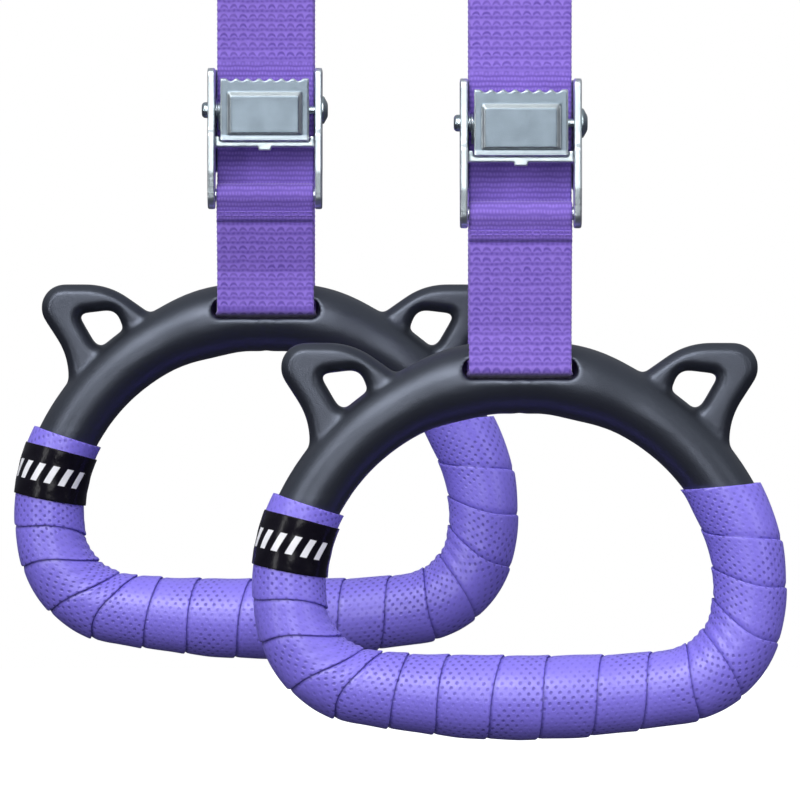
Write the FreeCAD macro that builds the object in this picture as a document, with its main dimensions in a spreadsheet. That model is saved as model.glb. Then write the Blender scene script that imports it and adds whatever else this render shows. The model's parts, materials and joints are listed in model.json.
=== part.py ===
import FreeCAD, Part
import math
import os
import Sketcher

# A pair of hanging hand grips. Each grip is a moulded ring with two ear loops, wrapped with
# perforated grip tape, and it hangs in a loop of webbing that a cam buckle adjusts.
#
# Frame: millimetres, +Z up, +X along the beam that the straps hang on, -Y towards the buckles.
# The origin is the centre of the beam inside the right grip's strap. Each piece is drawn in its
# grip's own frame, whose datum is the crown of the ring, and is then placed at its grip.

os.makedirs("parts", exist_ok=True)
doc = FreeCAD.newDocument("hand_grips")

DRIVING_DIMENSIONS = [
    # alias, value in mm or degrees, meaning
    ("webbing_width", 38.0, "width of the webbing"),
    ("webbing_thickness", 2.1, "thickness of the webbing"),
    ("beam_radius", 16.0, "radius of the beam inside the strap loop"),
    ("beam_height", 175.0, "beam centre above the crown of the ring"),
    ("pair_shift_x", -97.3, "left grip from right grip, along the beam"),
    ("pair_shift_y", 116.0, "left grip from right grip, backwards"),
    ("pair_shift_z", 24.4, "left grip from right grip, upwards"),
    ("left_buckle_drop", 13.0, "how much lower the left buckle sits on its strap"),
    ("crown_drop", 12.85, "tube centre below the crown datum"),
    ("crown_arc_radius", 88.2, "centre line radius over the crown"),
    ("crown_arc_end", 63.0, "heading where the crown arc ends"),
    ("side_arc_radius", 66.4, "centre line radius down the side"),
    ("side_arc_end", 99.7, "heading where the side arc ends"),
    ("corner_arc_radius", 32.0, "centre line radius of the lower corner"),
    ("corner_arc_end", 172.0, "heading where the corner ends"),
    ("tube_radius_crown", 13.75, "tube radius around the strap slot"),
    ("tube_radius_side", 11.8, "tube radius at the shoulders and sides"),
    ("tube_radius_grip", 14.4, "tube radius at the middle of the hand bar"),
    ("slot_length", 42.8, "strap slot, end to end"),
    ("slot_height", 7.6, "strap slot, height"),
    ("slot_drop", 10.2, "slot centre below the crown datum"),
    ("slot_flare", 0.9, "how far the slot's lips open outwards"),
    ("slot_flare_depth", 1.6, "how deep the slot's lips run into the tube"),
    ("slot_waist_length", 38.8, "strap slot at its waist in the middle of the tube, end to end"),
    ("slot_waist_height", 7.4, "strap slot's height at its waist"),
    ("ear_depth", 12.0, "thickness of an ear loop, front to back"),
    ("ear_bevel", 3.1, "bevel round an ear loop's faces"),
    ("wrap_thickness", 2.0, "build-up of the wound grip tape"),
    ("wrap_start_right", 57.7, "heading where the wrap starts on the right"),
    ("wrap_start_left", 62.8, "heading where the wrap starts on the left"),
    ("wrap_lean_right", 27.0, "degrees that the right end of the wrap leans off square"),
    ("wrap_lean_left", 9.0, "degrees that the left end of the wrap leans off square"),
    ("tape_thickness", 0.4, "thickness of the finishing tape"),
    ("tape_start", 67.6, "heading where the finishing tape starts"),
    ("tape_end", 85.2, "heading where the finishing tape ends"),
    ("strand_reach", 13.3, "strand centre in front of and behind the tube centre"),
    ("turn_radius", 16.0, "inner radius of the webbing's turn through the slot"),
    ("turn_centre", 4.4, "centre of that turn above the crown datum"),
    ("stub_top", 4.0, "height where the strands meet the slot turn"),
    ("strand_gap", 0.3, "gap between a strand and the slot turn"),
    ("strap_plane", 13.2, "webbing centre in front of the ring plane, in the buckle"),
    ("tail_end", 38.0, "lower end of the webbing tail"),
    ("rail_gap", 39.0, "clear width between the buckle's rails"),
    ("rail_thickness", 2.9, "thickness of a rail"),
    ("rail_top", 96.6, "top of the rails"),
    ("rail_front", 25.5, "front edge of the rails, in front of the ring plane"),
    ("floor_front", 11.85, "front face of the floor plate, in front of the ring plane"),
    ("floor_thickness", 2.0, "thickness of the floor plate"),
    ("floor_bottom", 58.0, "lower edge of the floor plate"),
    ("crossbar_bottom", 65.6, "underside of the front crossbar"),
    ("crossbar_thickness", 2.2, "thickness of the front crossbar"),
    ("crossbar_front", 25.3, "front edge of the crossbar"),
    ("crossbar_depth", 7.3, "front to back size of the crossbar"),
    ("tab_width", 5.0, "width of the crossbar's tab"),
    ("tab_thickness", 1.6, "thickness of the crossbar's tab"),
    ("tab_height", 1.4, "how far the tab hangs below the crossbar"),
    ("lug_width", 1.9, "width of a lug between crossbar and rail"),
    ("lug_depth", 3.5, "front to back size of a lug"),
    ("lug_height", 4.2, "height of a lug above the crossbar's underside"),
    ("weld", 0.2, "how far two sheet-metal walls run into each other"),
    ("bar_height", 47.0, "webbing bar centre above the crown datum"),
    ("bar_reach", 19.5, "webbing bar centre in front of the ring plane"),
    ("bar_radius", 2.5, "radius of the webbing bar"),
    ("bar_slack", 0.1, "gap between the webbing bar and the webbing"),
    ("rail_end_radius", 5.5, "radius of the rails' lower ends"),
    ("rail_step_depth", 1.5, "how much deeper the rails are below the lever"),
    ("rail_step_height", 70.5, "height below which they are deeper"),
    ("rail_step_run", 2.5, "height over which they become deeper"),
    ("rail_taper_front", 56.0, "height where the rails' front runs in to the foot"),
    ("rail_taper_back", 54.0, "height where the rails' back leaves the foot"),
    ("sewn_end", 38.0, "height where the sewn ply ends"),
    ("pin_height", 80.2, "cam pin centre above the crown datum"),
    ("pin_reach", 21.0, "cam pin centre in front of the ring plane"),
    ("pin_radius", 1.8, "radius of the cam pin"),
    ("pin_slack", 0.06, "radial running clearance of the lever on its pin"),
    ("pin_head_radius", 5.4, "radius of the rivet head"),
    ("pin_head_height", 2.2, "height of the rivet head"),
    ("peen_radius", 3.1, "radius of the peened end"),
    ("peen_height", 2.3, "height of the peened end"),
    ("pin_head_rim", 0.6, "height of the rivet head's straight rim"),
    ("pin_head_crown", 2.6, "radius of the flat on the rivet head"),
    ("lever_width", 34.6, "width of the cam lever"),
    ("lever_front", 7.0, "lever's front face in front of the pin"),
    ("lever_plate", 2.4, "thickness of the thumb plate"),
    ("lever_rise", 12.2, "thumb edge above the pin"),
    ("lever_fall", 12.5, "lower edge of the lever below the pin"),
    ("lever_lip", 0.8, "how far the lever's lower edge is turned out"),
    ("lever_lip_height", 2.3, "height of the turned-out lower edge"),
    ("cam_radius", 6.3, "cam radius opposite the webbing"),
    ("cam_growth", 0.016, "growth of the cam radius for each degree downwards"),
    ("cam_first_tooth", 60.0, "angle of the highest tooth above the pin's back"),
    ("cam_last_tooth", -45.0, "lowest angle that a tooth may have"),
    ("cam_web_top", 4.6, "height above the pin where the plate meets the cam"),
    ("cam_web_bottom", 6.0, "depth below the pin where the cam meets the plate"),
    ("tooth_depth", 0.6, "depth of the cam teeth"),
    ("tooth_pitch", 11.0, "degrees between two cam teeth"),
    ("scallop_pitch", 4.4, "distance between two scallops on the thumb edge"),
    ("scallop_radius", 1.75, "radius of a scallop"),
    ("scallop_depth", 1.15, "depth of a scallop"),
    ("panel_width", 29.0, "width of the raised panel at its foot"),
    ("panel_height", 1.2, "how far the panel stands out"),
    ("panel_top", 6.9, "panel's upper edge above the pin"),
    ("panel_bottom", 10.1, "panel's lower edge below the pin"),
    ("spring_coil_radius", 3.0, "mean radius of the spring's coil"),
    ("spring_wire_radius", 0.45, "radius of the spring wire"),
    ("spring_pitch", 0.95, "advance of the coil for each turn"),
    ("spring_turns", 1.25, "number of turns"),
    ("spring_leg", 7.0, "length of a spring leg"),
    ("spring_angle", 200.0, "angle of the spring about the pin"),
    ("stitch_length", 2.2, "length of one stitch"),
    ("stitch_pitch", 2.9, "distance between two stitches in a row"),
    ("stitch_edge", 0.7, "first row of stitches above the end of the ply"),
    ("stitch_rows", 1.4, "distance between the two rows of stitches"),
    ("stitch_thickness", 0.5, "thickness of the thread"),
]

sheet = doc.addObject("Spreadsheet::Sheet", "sheet")
for row, (alias, value, meaning) in enumerate(DRIVING_DIMENSIONS, start=1):
    sheet.set(f"A{row}", alias)
    sheet.set(f"B{row}", str(value))
    sheet.set(f"C{row}", meaning)
    sheet.setAlias(f"B{row}", alias)
doc.recompute()


def dim(alias):
    """The value of one cell of the sheet."""
    return float(sheet.get(alias))


# ---------------------------------------------------------------- outlines and small helpers

def vector(x, y, z=0.0):
    return FreeCAD.Vector(x, y, z)


def rounded_outline(corners):
    """Closed outline through corners (u, v, radius), each rounded by its radius."""
    bends = []
    for index, (u, v, radius) in enumerate(corners):
        corner = vector(u, v)
        before = corners[index - 1]
        after = corners[(index + 1) % len(corners)]
        to_before = vector(before[0] - u, before[1] - v).normalize()
        to_after = vector(after[0] - u, after[1] - v).normalize()
        if radius == 0:
            bends.append((corner, None, corner))
            continue
        half = to_before.getAngle(to_after) / 2
        reach = radius / math.tan(half)
        inward = (to_before + to_after).normalize()
        middle = corner + inward * (radius / math.sin(half) - radius)
        bends.append((corner + to_before * reach, middle, corner + to_after * reach))
    edges = []
    for index, (start, middle, end) in enumerate(bends):
        if middle is not None:
            edges.append(Part.Arc(start, middle, end))
        following = bends[(index + 1) % len(bends)][0]
        if end.distanceToPoint(following) > 1e-6:
            edges.append(Part.LineSegment(end, following))
    return edges


def ribbon_outline(route, thickness):
    """Outline of a band of even thickness along a route of bends (u, v, centre line radius)."""
    half = thickness / 2
    sides = ([], [])
    for index, (u, v, radius) in enumerate(route):
        here = vector(u, v)
        directions = []
        if index > 0:
            directions.append((here - vector(*route[index - 1][:2])).normalize())
        if index < len(route) - 1:
            directions.append((vector(*route[index + 1][:2]) - here).normalize())
        first = vector(-directions[0].y, directions[0].x)
        last = vector(-directions[-1].y, directions[-1].x)
        mitre = (first + last) * (1 / (1 + first.dot(last)))
        turn = directions[0].cross(directions[-1]).z
        for side, sign in zip(sides, (1, -1)):
            point = here + mitre * (sign * half)
            towards = sign if turn > 0 else -sign
            side.append((point.x, point.y, radius - towards * half if radius else 0))
    return rounded_outline(sides[0] + sides[1][::-1])


def tangent_corner(point, centre_height, radius, side):
    """Where the line from a point, tangent to a circle about (0, centre_height), meets its top."""
    away = vector(-point[0], centre_height - point[1])
    swing = math.asin(radius / away.Length)
    heading = math.atan2(away.y, away.x) - side * swing
    top = centre_height + radius
    along = (top - point[1]) / math.sin(heading)
    return point[0] + along * math.cos(heading), top


def origin_feature(body, role):
    return [item for item in body.Origin.OriginFeatures if item.Role == role][0]


def add_sketch(body, name, plane, geometry):
    """A sketch on one of the body's own origin planes."""
    sketch = body.newObject("Sketcher::SketchObject", name)
    sketch.AttachmentSupport = [(origin_feature(body, plane), "")]
    sketch.MapMode = "FlatFace"
    sketch.addGeometry(geometry, False)
    return sketch


def add_pad(body, name, sketch, length):
    """A pad to both sides of its sketch, its length bound to the sheet."""
    pad = body.newObject("PartDesign::Pad", name)
    pad.Profile = sketch
    pad.SideType = "Symmetric"
    pad.setExpression("Length", length)
    sketch.Visibility = False
    return pad


def add_block(body, kind, name, low, size):
    """An additive or subtractive box; low corner and size are expressions on the sheet."""
    block = body.newObject(kind, name)
    for axis, expression in zip("xyz", low):
        block.setExpression(f"Placement.Base.{axis}", expression)
    for side, expression in zip(("Length", "Width", "Height"), size):
        block.setExpression(side, expression)
    return block


def add_cross_cylinder(body, kind, name, start, radius, length):
    """A cylinder along +X; start point, radius and length are expressions on the sheet."""
    cylinder = body.newObject(kind, name)
    cylinder.Placement = FreeCAD.Placement(vector(0, 0, 0), FreeCAD.Rotation(vector(0, 1, 0), 90))
    for axis, expression in zip("xyz", start):
        cylinder.setExpression(f"Placement.Base.{axis}", expression)
    cylinder.setExpression("Radius", radius)
    cylinder.setExpression("Height", length)
    return cylinder


def new_body(label):
    return doc.addObject("PartDesign::Body", label)


def new_feature(label, shape):
    feature = doc.addObject("Part::Feature", label)
    feature.Shape = shape
    return feature


# ---------------------------------------------------------------- the ring's centre line

TUBE_SWELL = [
    # heading along half the ring, from the crown to the hand bar; tube radius there
    (0.0, dim("tube_radius_crown")),
    (16.0, dim("tube_radius_crown")),
    (27.0, dim("tube_radius_side") + 0.4),
    (45.0, dim("tube_radius_side")),
    (dim("side_arc_end"), dim("tube_radius_side")),
    (150.0, dim("tube_radius_side") + 0.6),
    (dim("corner_arc_end"), dim("tube_radius_side") + 0.4),
    (175.0, dim("tube_radius_grip") - 1.5),
    (177.0, dim("tube_radius_grip") - 0.5),
    (180.0, dim("tube_radius_grip")),
]


def centre_line_arcs():
    """Half the ring's centre line, as (first heading, last heading, centre x, centre z, radius)."""
    ends = [dim("crown_arc_end"), dim("side_arc_end"), dim("corner_arc_end")]
    radii = [dim("crown_arc_radius"), dim("side_arc_radius"), dim("corner_arc_radius")]
    x = 0.0
    z = -dim("crown_drop") - radii[0]
    arcs = [(0.0, ends[0], x, z, radii[0])]
    for index in (1, 2):
        turned = math.radians(ends[index - 1])
        x += (radii[index - 1] - radii[index]) * math.sin(turned)
        z += (radii[index - 1] - radii[index]) * math.cos(turned)
        arcs.append((ends[index - 1], ends[index], x, z, radii[index]))
    turned = math.radians(ends[2])
    hand_bar_radius = radii[2] + x / math.sin(turned)
    z += (radii[2] - hand_bar_radius) * math.cos(turned)
    arcs.append((ends[2], 180.0, 0.0, z, hand_bar_radius))
    return arcs


CENTRE_LINE = centre_line_arcs()
SECTION_SPACING = 9.0


def centre_point(heading):
    """Point of the right half of the centre line where it points heading degrees below +X."""
    for first, last, x, z, radius in CENTRE_LINE:
        if heading <= last + 1e-9:
            turned = math.radians(heading)
            return vector(x + radius * math.sin(turned), 0, z + radius * math.cos(turned))
    raise ValueError("a heading lies between 0 and 180 degrees")


def tube_radius(heading):
    for (first, radius_a), (last, radius_b) in zip(TUBE_SWELL, TUBE_SWELL[1:]):
        if heading <= last:
            share = (heading - first) / (last - first)
            return radius_a + (radius_b - radius_a) * share
    return TUBE_SWELL[-1][1]


def headings(start, end):
    """Evenly stepped headings from start to end, with at least one section each 9 mm."""
    steps = [start]
    for first, last, x, z, radius in CENTRE_LINE:
        low = max(first, start)
        high = min(last, end)
        if high > low:
            count = math.ceil(radius * math.radians(high - low) / SECTION_SPACING)
            steps += [low + (high - low) * (index + 1) / count for index in range(count)]
    return steps


def half_tube(start, end, growth):
    """The right half's tube from one heading to another, growth mm thicker than the bare tube."""
    sections = []
    for heading in headings(start, end):
        turned = math.radians(heading)
        outward = vector(math.sin(turned), 0, math.cos(turned))
        along = vector(math.cos(turned), 0, -math.sin(turned))
        section = Part.Wire(Part.makeCircle(tube_radius(heading) + growth))
        facing = FreeCAD.Rotation(outward, vector(0, -1, 0), along, "ZXY")
        section.Placement = FreeCAD.Placement(centre_point(heading), facing)
        sections.append(section)
    return Part.makeLoft(sections, True)


def mirrored(shape):
    return shape.mirror(vector(0, 0, 0), vector(1, 0, 0))


# ---------------------------------------------------------------- ring, wrap and tape

# One ear loop on the right, as corners (x, z, rounding) about the crown datum. The last four
# corners of the outer outline lie inside the tube, so that the loop grows out of it.
EAR_OUTER = [
    (62.3, -0.5, 28), (96.6, -0.5, 9.2), (78.2, -28.9, 27),
    (78.2, -48.0, 0), (69.0, -44.5, 0), (49.0, -26.0, 0), (41.0, -15.4, 0),
]
EAR_HOLE = [(74.4, -12.2, 1.6), (64.0, -30.3, 6), (56.0, -19.3, 4.5), (59.5, -10.4, 5)]


def upright_face(outline):
    """A face in the X-Z plane from an outline drawn in (x, z)."""
    face = Part.Face(Part.Wire([edge.toShape() for edge in outline]))
    face.rotate(vector(0, 0, 0), vector(1, 0, 0), 90)
    return face


def is_open_rim(edge):
    """True for an edge of the ear outside the closing run through the tube."""
    corners = [edge.Vertexes[0].Point, edge.Vertexes[-1].Point]
    hidden = [vector(x, 0, z) for x, z, rounding in EAR_OUTER[3:]]
    return not all(
        any(math.hypot(p.x - q.x, p.z - q.z) < 1e-6 for q in hidden) for p in corners
    )


def ear_loop():
    """The right ear loop: a thick plate with a finger hole and bevelled faces."""
    depth = dim("ear_depth")
    face = upright_face(rounded_outline(EAR_OUTER)).cut(upright_face(rounded_outline(EAR_HOLE)))
    face.translate(vector(0, -depth / 2, 0))
    plate = face.extrude(vector(0, depth, 0)).Solids[0]
    rims = [edge for edge in plate.Edges if edge.BoundBox.YLength < 1e-3 and is_open_rim(edge)]
    return plate.makeChamfer(dim("ear_bevel"), rims)


def slot_section(reach, radius, rounding, y):
    """Outline of the strap slot at a depth y, from its half length and half height."""
    face = upright_face(rounded_outline([
        (reach, radius, rounding), (reach, -radius, rounding),
        (-reach, -radius, rounding), (-reach, radius, rounding),
    ]))
    face.translate(vector(0, y, -dim("slot_drop")))
    return face.OuterWire


def slot_cutter():
    """The strap slot through the tube, with flared lips and a waist just wider than the strap."""
    reach = dim("slot_length") / 2
    radius = dim("slot_height") / 2
    throat = dim("tube_radius_crown") - dim("slot_flare_depth")
    mouth = dim("tube_radius_crown") + 1.0
    flare = dim("slot_flare") * (mouth - throat) / dim("slot_flare_depth")
    lip = (reach + flare, radius + flare, radius + flare - 0.01)
    inner_lip = (reach, radius, radius - 0.01)
    waist = (dim("slot_waist_length") / 2, dim("slot_waist_height") / 2, 1.0)
    return Part.makeLoft([
        slot_section(*lip, -mouth), slot_section(*inner_lip, -throat), slot_section(*waist, 0),
        slot_section(*inner_lip, throat), slot_section(*lip, mouth),
    ], True, True)


def bare_tube():
    right = half_tube(0.0, 180.0, 0.0)
    return right.fuse(mirrored(right))


def make_ring_body(label):
    ear = ear_loop()
    ring = bare_tube().fuse([ear, mirrored(ear)]).cut(slot_cutter())
    return new_feature(label, ring)


def wound_half(start, lean):
    """Half the tube as thick as its wrap, cut off where the wrap starts, lean degrees off square."""
    tube = half_tube(start - lean / 2, 180.0, dim("wrap_thickness"))
    size = 4 * dim("tube_radius_grip")
    cutter = Part.makeBox(size, size, size, vector(-size / 2, -size / 2, 0))
    facing = FreeCAD.Rotation(vector(0, 1, 0), start - 90 + lean)
    cutter.Placement = FreeCAD.Placement(centre_point(start), facing).multiply(cutter.Placement)
    return tube.cut(cutter)


def make_grip_wrap(label):
    right = wound_half(dim("wrap_start_right"), dim("wrap_lean_right"))
    left = wound_half(dim("wrap_start_left"), dim("wrap_lean_left"))
    outer = right.fuse(mirrored(left))
    return new_feature(label, outer.cut(bare_tube()))


def make_finishing_tape(label):
    inner = dim("wrap_thickness")
    outer = inner + dim("tape_thickness")
    band = half_tube(dim("tape_start"), dim("tape_end"), outer)
    under = half_tube(dim("tape_start") - 2, dim("tape_end") + 2, inner)
    return new_feature(label, mirrored(band.cut(under)))


# ---------------------------------------------------------------- webbing

def make_webbing(label, route):
    """A length of webbing along a route in the Y-Z plane, as wide as the sheet says."""
    body = new_body(label)
    outline = ribbon_outline(route, dim("webbing_thickness"))
    sketch = add_sketch(body, "webbing_section", "YZ_Plane", outline)
    add_pad(body, "webbing_pad", sketch, "sheet.webbing_width")
    return body


BEAM_BEND = dim("beam_radius") + dim("webbing_thickness") / 2
LEAN_RISE = 8.6
STUB_BACK = (dim("strand_reach"), dim("stub_top"))
BACK_CORNER = tangent_corner(STUB_BACK, dim("beam_height"), BEAM_BEND, 1)
BACK_SPLICE_HEIGHT = dim("beam_height") - 10


STRAND_END = dim("stub_top") + dim("strand_gap")


def back_strand_point(height):
    """Point of the back strand's centre line at a height above the crown datum."""
    share = (height - STUB_BACK[1]) / (BACK_CORNER[1] - STUB_BACK[1])
    return STUB_BACK[0] + (BACK_CORNER[0] - STUB_BACK[0]) * share, height


def make_strap_front(label, drop):
    """Tail, the run through the buckle and the turn over the beam."""
    lean_start = (-dim("strap_plane"), dim("rail_top") + LEAN_RISE - drop)
    return make_webbing(label, [
        (-dim("strap_plane"), dim("tail_end") - drop, 0),
        (*lean_start, 40),
        (*tangent_corner(lean_start, dim("beam_height"), BEAM_BEND, -1), BEAM_BEND),
        (*BACK_CORNER, BEAM_BEND),
        (*back_strand_point(BACK_SPLICE_HEIGHT), 0),
    ])


def make_strap_back(label):
    """The strand behind the ring, from the beam down to the slot."""
    return make_webbing(label, [
        (*back_strand_point(BACK_SPLICE_HEIGHT), 0),
        (*back_strand_point(STRAND_END), 0),
    ])


def make_strap_slot_turn(label):
    """The turn of the webbing under the bridge of the ring's slot."""
    reach = dim("strand_reach")
    bend = dim("turn_radius") + dim("webbing_thickness") / 2
    lowest = dim("turn_centre") - bend * math.sqrt(2)
    lip = lowest + reach
    return make_webbing(label, [
        (-reach, dim("stub_top"), 0),
        (-reach, lip, 3),
        (0, lowest, bend),
        (reach, lip, 3),
        (reach, dim("stub_top"), 0),
    ])


PLY_SHIFT = dim("webbing_thickness") / 2 + 0.05
SEWN_RISE = 3.2


def make_strap_lower(label, drop):
    """The sewn loop round the webbing bar and the strand from it to the slot."""
    loop = dim("bar_radius") + dim("bar_slack") + dim("webbing_thickness") / 2
    reach = dim("bar_reach")
    height = dim("bar_height") - drop
    sewn_end = dim("sewn_end") - drop
    sewn_top = sewn_end + SEWN_RISE
    return make_webbing(label, [
        (-reach - PLY_SHIFT, sewn_end, 0),
        (-reach - PLY_SHIFT, sewn_top, 4),
        (-reach - loop, height - 1.1, 4),
        (-reach - loop, height + loop, loop),
        (-reach + loop, height + loop, loop),
        (-reach + loop, height - 1.1, 4),
        (-reach + PLY_SHIFT, sewn_top, 4),
        (-reach + PLY_SHIFT, sewn_end - 3, 12),
        (-dim("strand_reach"), STRAND_END, 0),
    ])


def make_strap_stitching(label):
    """Two rows of stitches on the front of the sewn plies."""
    thread = dim("stitch_thickness")
    length = dim("stitch_length")
    pitch = dim("stitch_pitch")
    face = -dim("bar_reach") - PLY_SHIFT - dim("webbing_thickness") / 2
    per_row = int(dim("webbing_width") // pitch)
    stitches = []
    for row in range(2):
        row_height = dim("sewn_end") + dim("stitch_edge") + row * dim("stitch_rows")
        for index in range(per_row):
            x = (index - (per_row - 1) / 2) * pitch - length / 2
            stitch = Part.makeBox(length, thread, thread, vector(x, face - thread, row_height))
            stitches.append(stitch.makeFillet(thread * 0.35, stitch.Edges))
    return new_feature(label, Part.makeCompound(stitches))


# ---------------------------------------------------------------- cam buckle

def make_buckle_frame(label):
    """Two rails joined by a floor plate behind the webbing and a crossbar in front of it."""
    body = new_body(label)
    back = dim("floor_thickness") - dim("floor_front")
    front = -dim("rail_front")
    low_front = front - dim("rail_step_depth")
    step = dim("rail_step_height")
    bar = -dim("bar_reach")
    foot = dim("bar_height") - dim("rail_end_radius")
    end = dim("rail_end_radius")
    rounding = end - 0.3
    outline = rounded_outline([
        (back, dim("floor_bottom"), 1), (back, dim("rail_top"), 1.5),
        (front, dim("rail_top"), 3), (front, step + dim("rail_step_run"), 2),
        (low_front, step, 2), (low_front, dim("rail_taper_front"), 8),
        (bar - end, foot, rounding), (bar + end, foot, rounding),
        (bar + end, dim("rail_taper_back"), 3),
    ])
    sketch = add_sketch(body, "rail_outline", "YZ_Plane", outline)
    add_pad(body, "rails", sketch, "sheet.rail_gap + 2 * sheet.rail_thickness")
    add_block(
        body, "PartDesign::SubtractiveBox", "strap_way",
        ("-sheet.rail_gap / 2", "-2 * sheet.crossbar_front", "0"),
        ("sheet.rail_gap", "2 * sheet.crossbar_front - sheet.floor_front", "2 * sheet.rail_top"),
    )
    add_block(
        body, "PartDesign::AdditiveBox", "crossbar",
        ("-sheet.rail_gap / 2 - sheet.weld", "-sheet.crossbar_front", "sheet.crossbar_bottom"),
        ("sheet.rail_gap + 2 * sheet.weld", "sheet.crossbar_depth", "sheet.crossbar_thickness"),
    )
    add_block(
        body, "PartDesign::AdditiveBox", "crossbar_tab",
        ("-sheet.tab_width / 2", "-sheet.crossbar_front", "sheet.crossbar_bottom - sheet.tab_height"),
        ("sheet.tab_width", "sheet.tab_thickness", "sheet.tab_height + sheet.weld"),
    )
    lugs = {
        "left_lug": "-sheet.rail_gap / 2 - sheet.weld",
        "right_lug": "sheet.rail_gap / 2 - sheet.lug_width",
    }
    for name, low in lugs.items():
        add_block(
            body, "PartDesign::AdditiveBox", name,
            (low, "-sheet.crossbar_front", "sheet.crossbar_bottom"),
            ("sheet.lug_width + sheet.weld", "sheet.lug_depth", "sheet.lug_height"),
        )
    through = "sheet.rail_gap + 2 * sheet.rail_thickness + 2"
    start = "-sheet.rail_gap / 2 - sheet.rail_thickness - 1"
    add_cross_cylinder(
        body, "PartDesign::SubtractiveCylinder", "pin_holes",
        (start, "-sheet.pin_reach", "sheet.pin_height"), "sheet.pin_radius", through,
    )
    add_cross_cylinder(
        body, "PartDesign::SubtractiveCylinder", "bar_holes",
        (start, "-sheet.bar_reach", "sheet.bar_height"), "sheet.bar_radius", through,
    )
    return body


def make_webbing_bar(label):
    body = new_body(label)
    add_cross_cylinder(
        body, "PartDesign::AdditiveCylinder", "bar",
        ("-sheet.rail_gap / 2 - sheet.rail_thickness", "-sheet.bar_reach", "sheet.bar_height"),
        "sheet.bar_radius", "sheet.rail_gap + 2 * sheet.rail_thickness",
    )
    return body


def make_cam_pin(label):
    """The rivet that the lever turns on, drawn about its own axis: a domed head, a peened end."""
    body = new_body(label)
    rail = dim("rail_gap") / 2 + dim("rail_thickness")
    head = rail + dim("pin_head_height")
    peen = -rail - dim("peen_height")
    outline = rounded_outline([
        (peen, 0, 0), (peen, dim("peen_radius"), 1.4), (-rail, dim("peen_radius"), 0),
        (-rail, dim("pin_radius"), 0), (rail, dim("pin_radius"), 0),
        (rail, dim("pin_head_radius"), 0),
        (rail + dim("pin_head_rim"), dim("pin_head_radius"), 0.5),
        (head, dim("pin_head_crown"), 3), (head, 0, 0),
    ])
    sketch = add_sketch(body, "rivet_section", "XY_Plane", outline)
    turned = body.newObject("PartDesign::Revolution", "rivet")
    turned.Profile = sketch
    turned.ReferenceAxis = (sketch, ["H_Axis"])
    turned.Angle = 360
    return body


def cam_outline():
    """Side outline of the lever about its pin: thumb plate, toothed cam and lower edge."""
    front = -dim("lever_front")
    plate = front + dim("lever_plate")
    rise = dim("lever_rise")
    fall = -dim("lever_fall")
    lip = front - dim("lever_lip")
    web_top = dim("cam_web_top")
    web_bottom = -dim("cam_web_bottom")
    corners = [
        (lip, fall, 0.3), (lip, fall + 0.7, 0.3), (front, fall + dim("lever_lip_height"), 0.5),
        (front, rise, 1.0), (plate, rise, 0.6),
        (plate, web_top, 1.2), (0.4, web_top + 1, 0.8),
    ]
    highest = dim("cam_first_tooth")
    count = int((highest - dim("cam_last_tooth")) / dim("tooth_pitch"))
    for index in range(count + 1):
        angle = highest - index * dim("tooth_pitch")
        radius = dim("cam_radius") - dim("cam_growth") * angle
        tip = math.radians(angle)
        root = math.radians(angle - 0.35 * dim("tooth_pitch"))
        corners.append((radius * math.cos(tip), radius * math.sin(tip), 0))
        inner = radius - dim("tooth_depth")
        corners.append((inner * math.cos(root), inner * math.sin(root), 0))
    corners += [(1.5, web_bottom - 0.4, 1.5), (plate, web_bottom, 1.2), (plate, fall, 0.6)]
    return rounded_outline(corners)


def make_cam_lever(label):
    """The thumb lever with its cam, drawn about the pin's axis."""
    body = new_body(label)
    sketch = add_sketch(body, "lever_section", "YZ_Plane", cam_outline())
    add_pad(body, "lever_pad", sketch, "sheet.lever_width")
    panel = body.newObject("PartDesign::AdditiveWedge", "thumb_panel")
    panel_faces = {
        "Ymin": "-sheet.lever_front - sheet.panel_height",
        "Ymax": "-sheet.lever_front + 0.01",
        "Xmin": "-sheet.panel_width / 2 + sheet.panel_height",
        "Xmax": "sheet.panel_width / 2 - sheet.panel_height",
        "Zmin": "-sheet.panel_bottom + 0.6",
        "Zmax": "sheet.panel_top - 1.7 * sheet.panel_height",
        "X2min": "-sheet.panel_width / 2",
        "X2max": "sheet.panel_width / 2",
        "Z2min": "-sheet.panel_bottom",
        "Z2max": "sheet.panel_top",
    }
    panel.Xmax = panel.Zmax = panel.X2max = panel.Z2max = 20
    panel.Xmin = panel.Zmin = panel.X2min = panel.Z2min = -20
    panel.Ymin = -20
    panel.Ymax = 0
    for side, expression in panel_faces.items():
        panel.setExpression(side, expression)
    scallop = body.newObject("PartDesign::SubtractiveCylinder", "scallop")
    scallop.Placement = FreeCAD.Placement(vector(0, 0, 0), FreeCAD.Rotation(vector(1, 0, 0), 90))
    scallop.Height = 12
    scallop.setExpression("Radius", "sheet.scallop_radius")
    scallop.setExpression("Placement.Base.x", "-3 * sheet.scallop_pitch")
    scallop.setExpression("Placement.Base.z", "sheet.lever_rise + sheet.scallop_radius - sheet.scallop_depth")
    doc.recompute()
    scallops = body.newObject("PartDesign::LinearPattern", "scallops")
    scallops.Originals = [scallop]
    scallops.Direction = (origin_feature(body, "X_Axis"), [""])
    scallops.setExpression("Length", "6 * sheet.scallop_pitch")
    scallops.Occurrences = 7
    body.Tip = scallops
    add_cross_cylinder(
        body, "PartDesign::SubtractiveCylinder", "pin_bore",
        ("-sheet.lever_width", "0", "0"), "sheet.pin_radius + sheet.pin_slack", "2 * sheet.lever_width",
    )
    return body


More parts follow.
